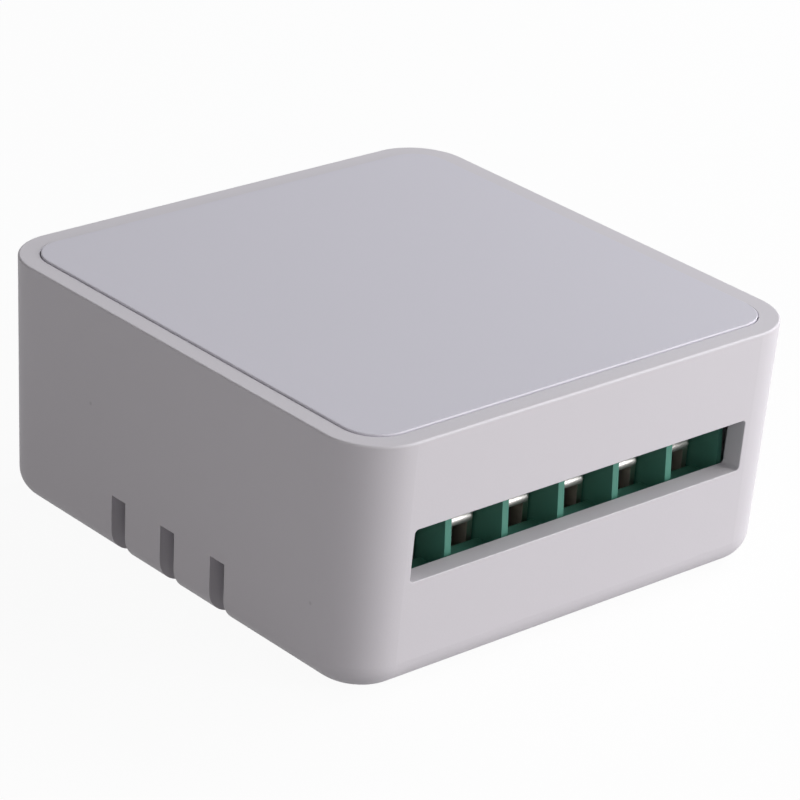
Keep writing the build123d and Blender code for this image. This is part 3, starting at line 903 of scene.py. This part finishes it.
@dataclass
class TerminalRow(SubAssembly):
    """Terminal block with a screw, a cage and a contact plate for each pole."""

    poles: int = 6
    thread_pitch: float = 0.5 * MM
    thread_core: float = 1.25 * MM
    thread_crest: float = 1.42 * MM
    thread_sink: float = 0.03 * MM
    flank_share: float = 0.42
    head_height: float = 1.6 * MM
    head_gap: float = 0.3 * MM
    tip_gap: float = 0.55 * MM
    steps_a_turn: int = 24

    def finishes(self) -> dict[str, Finish]:
        """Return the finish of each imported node."""
        worn: dict[str, Finish] = {
            "terminal_housing": TERMINAL_GREEN,
            "terminal_contacts": TINNED_BRASS,
        }
        for pole in range(1, self.poles + 1):
            worn[f"terminal_screw_{pole}"] = SHADED_SCREW_STEEL
            worn[f"terminal_cage_{pole}"] = CAGE_BRASS
        return worn

    def build(self, nodes: Nodes) -> None:
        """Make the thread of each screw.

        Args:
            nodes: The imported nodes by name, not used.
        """
        for pole in range(1, self.poles + 1):
            self.thread(pole)

    def thread(self, pole: int) -> None:
        """Wind one right-hand thread round a screw's shank.

        Args:
            pole: The screw's number.
        """
        low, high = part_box(f"terminal_screw_{pole}")
        centre = Vector(((low[0] + high[0]) / 2, (low[1] + high[1]) / 2, 0.0))
        bottom = low[2] + self.head_height + self.head_gap
        turns = (high[2] - self.tip_gap - bottom) / self.thread_pitch
        steps = int(turns * self.steps_a_turn)
        flank = self.flank_share * self.thread_pitch
        root = self.thread_core - self.thread_sink
        mesh = bmesh.new()
        corners = ((root, -flank), (self.thread_crest, 0.0), (root, flank))
        profile = [
            mesh.verts.new(centre + Vector((out, 0.0, bottom + rise))) for out, rise in corners
        ]
        sides = [mesh.edges.new(pair) for pair in zip(profile, profile[1:] + profile[:1])]
        grown = bmesh.ops.spin(
            mesh,
            geom=profile + sides,
            cent=centre,
            axis=(0.0, 0.0, 1.0),
            dvec=(0.0, 0.0, self.thread_pitch / self.steps_a_turn),
            angle=steps * 2 * math.pi / self.steps_a_turn,
            steps=steps,
            use_merge=False,
        )
        end = [item for item in grown["geom_last"] if isinstance(item, bmesh.types.BMVert)]
        mesh.faces.new(profile)
        mesh.faces.new(end)
        finish_piece(f"terminal_screw_thread_{pole}", mesh, SHADED_SCREW_STEEL, f"screw_{pole}")


@dataclass
class Relays(SubAssembly):
    """The two motor relays."""

    names: tuple[str, ...] = ("relay_a", "relay_b")

    def finishes(self) -> dict[str, Finish]:
        """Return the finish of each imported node."""
        worn: dict[str, Finish] = {}
        for relay in self.names:
            worn |= {
                f"{relay}_case": RELAY_BLUE,
                f"{relay}_base": RELAY_BASE,
                f"{relay}_bobbin": BOBBIN,
                f"{relay}_winding": COIL_WIRE,
                f"{relay}_magnet_frame": MAGNET_STEEL,
                f"{relay}_armature": MAGNET_STEEL,
                f"{relay}_moving_contact": CONTACT_ALLOY,
                f"{relay}_fixed_contacts": CONTACT_ALLOY,
                f"{relay}_coil_pins": PIN_METAL,
            }
        return worn


@dataclass
class PowerSupply(SubAssembly):
    """Capacitors, choke, varistor, fusible resistor and snubbers under the board."""

    lead_height: float = 13.0
    snubber_lead_height: float = 13.1
    fuse_low: Point = (14.0, -7.95, 5.75)
    fuse_high: Point = (16.6, -5.4, 12.35)
    can_centres: tuple[tuple[float, float], ...] = ((9.8 * MM, -4.4 * MM), (14.5 * MM, 6.4 * MM))
    can_tops: tuple[str, ...] = ("mains_capacitor", "output_capacitor")
    top_margin: float = 0.75 * MM
    top_thickness: float = 0.12 * MM
    top_edge: float = 0.04 * MM
    top_sides: int = 48
    level_within: float = 0.0001 * MM

    def coated(self, finish: MouldedPlastic, label: str, height: float) -> MouldedPlastic:
        """Return a finish that is bare metal above a height.

        Args:
            finish: The coat.
            label: Name of the new finish.
            height: Where the leads begin, in millimetres.

        Returns:
            The part's own finish.
        """
        far = FAR / MM
        return with_leads(finish, label, (-far, -far, -far), (far, far, height))

    def finishes(self) -> dict[str, Finish]:
        """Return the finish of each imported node."""
        can = self.coated(CAN_SLEEVE, "sleeve_with_leads", self.lead_height)
        film = self.coated(FILM_CASE, "film_case_with_leads", self.snubber_lead_height)
        fuse = with_leads(RESISTOR_COAT, "fuse_with_leads", self.fuse_low, self.fuse_high)
        return {
            "mains_capacitor": can,
            "output_capacitor": can,
            "choke_core": self.coated(FERRITE, "ferrite_with_leads", self.lead_height),
            "choke_winding": replace(COIL_WIRE, name="choke_wire", turns_along=GrainAxis.Z),
            "varistor": self.coated(VARISTOR_COAT, "varistor_with_leads", self.lead_height),
            "fuse_resistor": fuse,
            "snubber_capacitor_a": film,
            "snubber_capacitor_b": film,
        }

    def build(self, nodes: Nodes) -> None:
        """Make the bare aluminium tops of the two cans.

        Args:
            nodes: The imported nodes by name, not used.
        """
        mesh = bmesh.new()
        for name in self.can_tops:
            low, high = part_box(name)
            centre = Vector(((low[0] + high[0]) / 2, (low[1] + high[1]) / 2, low[2]))
            radius = (high[0] - low[0]) / 2 - self.top_margin
            made = bmesh.ops.create_cone(
                mesh,
                cap_ends=True,
                segments=self.top_sides,
                radius1=radius,
                radius2=radius,
                depth=self.top_thickness,
                matrix=Matrix.Translation(centre),
            )
            rims = []
            for edge in edges_of(made["verts"]):
                first, last = edge.verts
                if abs(first.co.z - last.co.z) < self.level_within:
                    rims.append(edge)
            round_edges(mesh, rims, self.top_edge)
        top = ScoredCan("shield_metal_scored", (0.74, 0.74, 0.75), centres=self.can_centres)
        finish_piece("capacitor_tops", mesh, top, HOUSING_BODY)


@dataclass
class RadioModule(SubAssembly):
    """Radio board on edge, with its chip, shield, pins and printed aerial."""

    run_pitch: float = 0.62 * MM
    run_width: float = 0.26 * MM
    run_count: int = 5
    copper_proud: float = 0.04 * MM
    copper_edge: float = 0.01 * MM
    board_margin: float = 0.5 * MM
    long_reach: float = 6.4 * MM

    def finishes(self) -> dict[str, Finish]:
        """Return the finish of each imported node."""
        return {
            "radio_board": RADIO_LAMINATE,
            "radio_shield": SHIELD_METAL,
            "radio_chip": CHIP_EPOXY,
            "radio_header": PIN_METAL,
        }

    def build(self, nodes: Nodes) -> None:
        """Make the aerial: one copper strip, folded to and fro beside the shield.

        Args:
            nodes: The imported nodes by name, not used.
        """
        low, high = (Vector(corner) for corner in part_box("radio_board"))
        face = (low.y - self.copper_proud, low.y + self.copper_proud)
        bottom = low.z + self.board_margin
        top = bottom + self.long_reach
        mesh = bmesh.new()
        for run in range(self.run_count):
            x = high.x - self.board_margin - run * self.run_pitch
            start = Vector((x - self.run_width, face[0], bottom))
            end = Vector((x, face[1], top))
            add_rounded_block(mesh, start, end, self.copper_edge)
            if run + 1 < self.run_count:
                level = top if run % 2 else bottom + self.run_width
                turn = Vector((x - self.run_pitch, face[0], level - self.run_width))
                far = Vector((x - self.run_width, face[1], level))
                add_rounded_block(mesh, turn, far, self.copper_edge)
        finish_piece("radio_aerial", mesh, CONTACT_ALLOY, HOUSING_BODY)


@dataclass
class MainBoard(SubAssembly):
    """Circuit board with its surface parts, tactile switch, status light and solder."""

    switch_low: Point = (7.2, 9.0, 0.0)
    switch_high: Point = (13.2, 15.0, 13.3)
    bridge_low: Point = (8.0, -1.6, 14.0)
    bridge_high: Point = (12.4, 2.0, 17.0)
    cap_length: float = 0.32 * MM
    cap_proud: float = 0.02 * MM
    cap_edge: float = 0.04 * MM
    leg_pitch: float = 0.8 * MM
    leg_width: float = 0.3 * MM
    leg_thickness: float = 0.12 * MM
    leg_reach: float = 0.75 * MM
    leg_height: float = 0.5 * MM
    leg_shares: tuple[float, float, float] = (0.30, 0.15, 0.55)
    pad_radius: float = 0.5 * MM
    pad_top_share: float = 0.8
    pad_sides: int = 24
    pad_height: float = 0.06 * MM
    pad_pitch: float = 1.9 * MM
    pad_count: int = 6
    pad_start: tuple[float, float] = (-14.0 * MM, 3.2 * MM)
    legged_chip_width: float = 4.0 * MM

    def finishes(self) -> dict[str, Finish]:
        """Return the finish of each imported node."""
        switch = with_leads(SWITCH_BODY, "switch_with_feet", self.switch_low, self.switch_high)
        bridge = with_leads(CHIP_EPOXY, "bridge_with_legs", self.bridge_low, self.bridge_high)
        return {
            "main_board": BOARD_LAMINATE,
            "solder_joints": SOLDER,
            "board_passives": CERAMIC,
            "board_chips": CHIP_EPOXY,
            "bridge_rectifier": bridge,
            "tact_switch_body": switch,
            "tact_switch_stem": SWITCH_STEM,
            "status_led": LED_LENS,
        }

    def build(self, nodes: Nodes) -> None:
        """Make the parts' tinned ends, the chips' legs and the test pads.

        Args:
            nodes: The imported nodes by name.
        """
        self.end_caps(loose_boxes(nodes["board_passives"]))
        self.chip_legs(loose_boxes(nodes["board_chips"]))
        self.test_pads(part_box("main_board")[1].z)

    def end_caps(self, boxes: list[Box]) -> None:
        """Make the tinned ends of the chip resistors and capacitors.

        Args:
            boxes: The box of each chip.
        """
        mesh = bmesh.new()
        for low, high in boxes:
            proud = Vector((self.cap_proud, self.cap_proud, self.cap_proud))
            outer_low, outer_high = low - proud, high + proud
            outer_low.z = low.z
            near = Vector((outer_high.x, low.y + self.cap_length, outer_high.z))
            far = Vector((outer_low.x, high.y - self.cap_length, outer_low.z))
            add_rounded_block(mesh, outer_low, near, self.cap_edge)
            add_rounded_block(mesh, far, outer_high, self.cap_edge)
        finish_piece("board_passive_ends", mesh, PIN_METAL, HOUSING_BODY)

    def chip_legs(self, boxes: list[Box]) -> None:
        """Make the bent legs of the wide chips.

        Args:
            boxes: The box of each chip.
        """
        mesh = bmesh.new()
        for low, high in boxes:
            if high.x - low.x < self.legged_chip_width:
                continue
            count = int((high.x - low.x) / self.leg_pitch)
            start = (low.x + high.x) / 2 - self.leg_pitch * (count - 1) / 2
            for number in range(count):
                centre = start + number * self.leg_pitch
                self.add_leg(mesh, centre, low.y, low.z, -1.0)
                self.add_leg(mesh, centre, high.y, low.z, 1.0)
        finish_piece("board_chip_legs", mesh, PIN_METAL, HOUSING_BODY)

    def add_leg(self, mesh: bmesh.types.BMesh, x: float, y: float, z: float, side: float) -> None:
        """Add one gull-wing leg.

        Args:
            mesh: The bmesh that is added to.
            x: The leg's centre along the chip.
            y: The chip's side.
            z: The board's surface.
            side: -1 or 1, the way that the leg points along Y.
        """
        half = self.leg_width / 2
        lift = self.leg_thickness / 2
        shoulder, slope, foot = (share * self.leg_reach for share in self.leg_shares)
        steps = ((shoulder, 0.0), (slope, lift - self.leg_height), (foot, 0.0))
        root = [mesh.verts.new((x + end, y, z + self.leg_height)) for end in (-half, half)]
        edge = mesh.edges.new(root)
        strip = []
        for out, drop in steps:
            grown = bmesh.ops.extrude_edge_only(mesh, edges=[edge])["geom"]
            moved = [item for item in grown if isinstance(item, bmesh.types.BMVert)]
            bmesh.ops.translate(mesh, verts=moved, vec=(0.0, side * out, drop))
            edge = next(item for item in grown if isinstance(item, bmesh.types.BMEdge))
            strip.extend(edge.link_faces)
        bmesh.ops.recalc_face_normals(mesh, faces=strip)
        bmesh.ops.solidify(mesh, geom=strip, thickness=self.leg_thickness)

    def test_pads(self, board_top: float) -> None:
        """Make a row of tinned test pads.

        Args:
            board_top: Height of the board's back.
        """
        mesh = bmesh.new()
        for number in range(self.pad_count):
            back = self.pad_start[1] - number * self.pad_pitch
            centre = Vector((self.pad_start[0], back, board_top + self.pad_height / 2))
            bmesh.ops.create_cone(
                mesh,
                cap_ends=True,
                segments=self.pad_sides,
                radius1=self.pad_radius,
                radius2=self.pad_top_share * self.pad_radius,
                depth=self.pad_height,
                matrix=Matrix.Translation(centre),
            )
        finish_piece("board_test_pads", mesh, SOLDER, HOUSING_BODY)


def outward(azimuth: float, elevation: float) -> Vector:
    """Return the direction from the object to a lamp or camera.

    Args:
        azimuth: Angle from -Y towards +X in radians.
        elevation: Angle above the floor in radians.

    Returns:
        The direction, of length 1.
    """
    level = math.cos(elevation)
    return Vector((math.sin(azimuth) * level, -math.cos(azimuth) * level, math.sin(elevation)))


@dataclass(frozen=True)
class SoftLamp:
    """A square lamp that faces the object."""

    name: str
    azimuth: float
    elevation: float
    power: float
    colour: Colour = (1.0, 1.0, 1.0)
    size: float = 0.25
    distance: float = 0.4

    def build(self) -> None:
        """Make the lamp."""
        away = outward(math.radians(self.azimuth), math.radians(self.elevation))
        data = bpy.data.lights.new(self.name, "AREA")
        data.size = self.size
        data.energy = self.power
        data.color = self.colour
        lamp = new_object(self.name, data)
        lamp.location = away * self.distance
        lamp.rotation_euler = (-away).to_track_quat("-Z", "Y").to_euler()


@dataclass
class Studio:
    """Pale floor, soft lamps and white surroundings."""

    floor_size: float = 6.0
    opening_half: float = 16.9 * MM
    floor_lit_colour: Colour = (0.34, 0.34, 0.35)
    floor_white_share: float = 0.94
    sky_strength: float = 0.05
    lamps: tuple[SoftLamp, ...] = (
        SoftLamp("key_lamp", 45, 20, 0.81, (1.0, 0.99, 0.985)),
        SoftLamp("front_lamp", 25, 20, 0.56, (1.0, 0.99, 0.985)),
        SoftLamp("high_lamp", 90, 40, 0.87, (0.94, 0.965, 1.0)),
        SoftLamp("left_lamp", -90, 15, 0.22, (1.0, 0.98, 0.97)),
        SoftLamp("camera_lamp", -45, 20, 0.18, (1.0, 0.98, 0.97)),
        SoftLamp("under_lamp", 0, -90, 0.9),
    )

    def build(self) -> None:
        """Make the floor, the world and the lamps."""
        self.floor()
        self.world()
        for lamp in self.lamps:
            lamp.build()

    def floor(self) -> None:
        """Make the floor, which looks white and keeps the object's shadow.

        It is open under the object's flat underside and can be seen through from below.
        """
        mesh = bmesh.new()
        turns = ((-1, -1), (1, -1), (1, 1), (-1, 1))
        outer, inner = (
            [mesh.verts.new((x * half, y * half, 0.0)) for x, y in turns]
            for half in (self.floor_size / 2, self.opening_half)
        )
        for near in range(4):
            far = (near + 1) % 4
            mesh.faces.new((outer[near], outer[far], inner[far], inner[near]))
        mesh_object("studio_floor", mesh, self.floor_paint())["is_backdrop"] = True

    def floor_paint(self) -> bpy.types.Material:
        """Return the floor's material, nearly white from above and clear from below."""
        material = bpy.data.materials.new("studio_floor_paint")
        material.use_nodes = True
        graph = NodeGraph(material.node_tree)
        graph.tree.nodes.clear()
        seen = self.seen_ray(graph)
        paint = graph.blend(seen, opaque(self.floor_lit_colour), WHITE)
        lit = graph.feed(graph.add("ShaderNodeBsdfDiffuse"), Color=paint)
        white = graph.feed(graph.add("ShaderNodeEmission"), Color=WHITE, Strength=1.0)
        share = graph.maths("MULTIPLY", seen, self.floor_white_share)
        above = graph.mixed(share, lit.outputs[0], white.outputs[0])
        below = graph.add("ShaderNodeNewGeometry").outputs["Backfacing"]
        clear = graph.add("ShaderNodeBsdfTransparent").outputs[0]
        graph.feed(graph.add("ShaderNodeOutputMaterial"), Surface=graph.mixed(below, above, clear))
        return material

    def seen_ray(self, graph: NodeGraph) -> bpy.types.NodeSocket:
        """Return 1 for rays that show the surroundings straight, mirrored or through plastic.

        Args:
            graph: The tree that the nodes go into.

        Returns:
            The mask's socket.
        """
        rays = graph.add("ShaderNodeLightPath").outputs
        shown = graph.maths("MAXIMUM", rays["Is Camera Ray"], rays["Is Glossy Ray"])
        return graph.maths("MAXIMUM", shown, rays["Is Transmission Ray"])

    def world(self) -> None:
        """Make surroundings that look white and light the object softly."""
        world = bpy.data.worlds.new("studio_world")
        world.use_nodes = True
        bpy.context.scene.world = world
        graph = NodeGraph(world.node_tree)
        graph.tree.nodes.clear()
        sky = graph.feed(graph.add("ShaderNodeBackground"), Color=WHITE, Strength=self.sky_strength)
        white = graph.feed(graph.add("ShaderNodeBackground"), Color=WHITE, Strength=1.0)
        surface = graph.mixed(self.seen_ray(graph), sky.outputs[0], white.outputs[0])
        graph.feed(graph.add("ShaderNodeOutputWorld"), Surface=surface)


@dataclass(frozen=True)
class PhotographCamera:
    """The photograph's camera, as fitted to the object's edges."""

    azimuth: float = math.radians(-42.776)
    elevation: float = math.radians(24.833)
    distance: float = 263.134 * MM
    aim_height: float = 8.95 * MM
    yaw: float = math.radians(-0.154)
    pitch: float = math.radians(0.054)
    roll: float = math.radians(-4.261)
    focal_length_px: float = 3822.92
    image_width_px: float = 800.0
    sensor_width_mm: float = 36.0

    def build(self) -> None:
        """Make the camera and set it as the scene's."""
        back = outward(self.azimuth, self.elevation)
        forward = -back
        right = forward.cross(Vector((0.0, 0.0, 1.0))).normalized()
        up = right.cross(forward)
        for angle, about in ((self.yaw, "up"), (self.pitch, "right"), (self.roll, "forward")):
            axis = {"up": up, "right": right, "forward": forward}[about].copy()
            turn = Matrix.Rotation(angle, 3, axis)
            forward, right, up = turn @ forward, turn @ right, turn @ up
        data = bpy.data.cameras.new("photograph_camera")
        data.sensor_fit = "HORIZONTAL"
        data.sensor_width = self.sensor_width_mm
        data.lens = self.focal_length_px / self.image_width_px * self.sensor_width_mm
        data.clip_start = 1.0 * MM
        camera = new_object("photograph_camera", data)
        turned = Matrix((right, up, -forward)).transposed().to_4x4()
        aim = Vector((0.0, 0.0, self.aim_height))
        camera.matrix_world = Matrix.Translation(aim + back * self.distance) @ turned
        bpy.context.scene.camera = camera


def measured_box() -> list[list[float]]:
    """Return the shown object's lowest and highest corner as plain numbers."""
    bpy.context.view_layer.update()
    return [[float(part) for part in corner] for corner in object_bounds()]


def main() -> None:
    """Load the solids, dress and detail each sub-assembly, and set up the studio."""
    logging.basicConfig(level=logging.INFO, format="%(name)s: %(message)s")
    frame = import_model()
    solid_box = measured_box()
    sub_assemblies = (
        Housing(),
        TerminalRow(),
        Relays(),
        PowerSupply(),
        RadioModule(),
        MainBoard(),
    )
    for sub_assembly in sub_assemblies:
        sub_assembly.dress(frame["nodes"])
        sub_assembly.build(frame["nodes"])
    Studio().build()
    PhotographCamera().build()
    bpy.context.scene.view_settings.view_transform = "Standard"
    {"cad": solid_box, "visual": measured_box()}


if __name__ == "__main__":
    main()
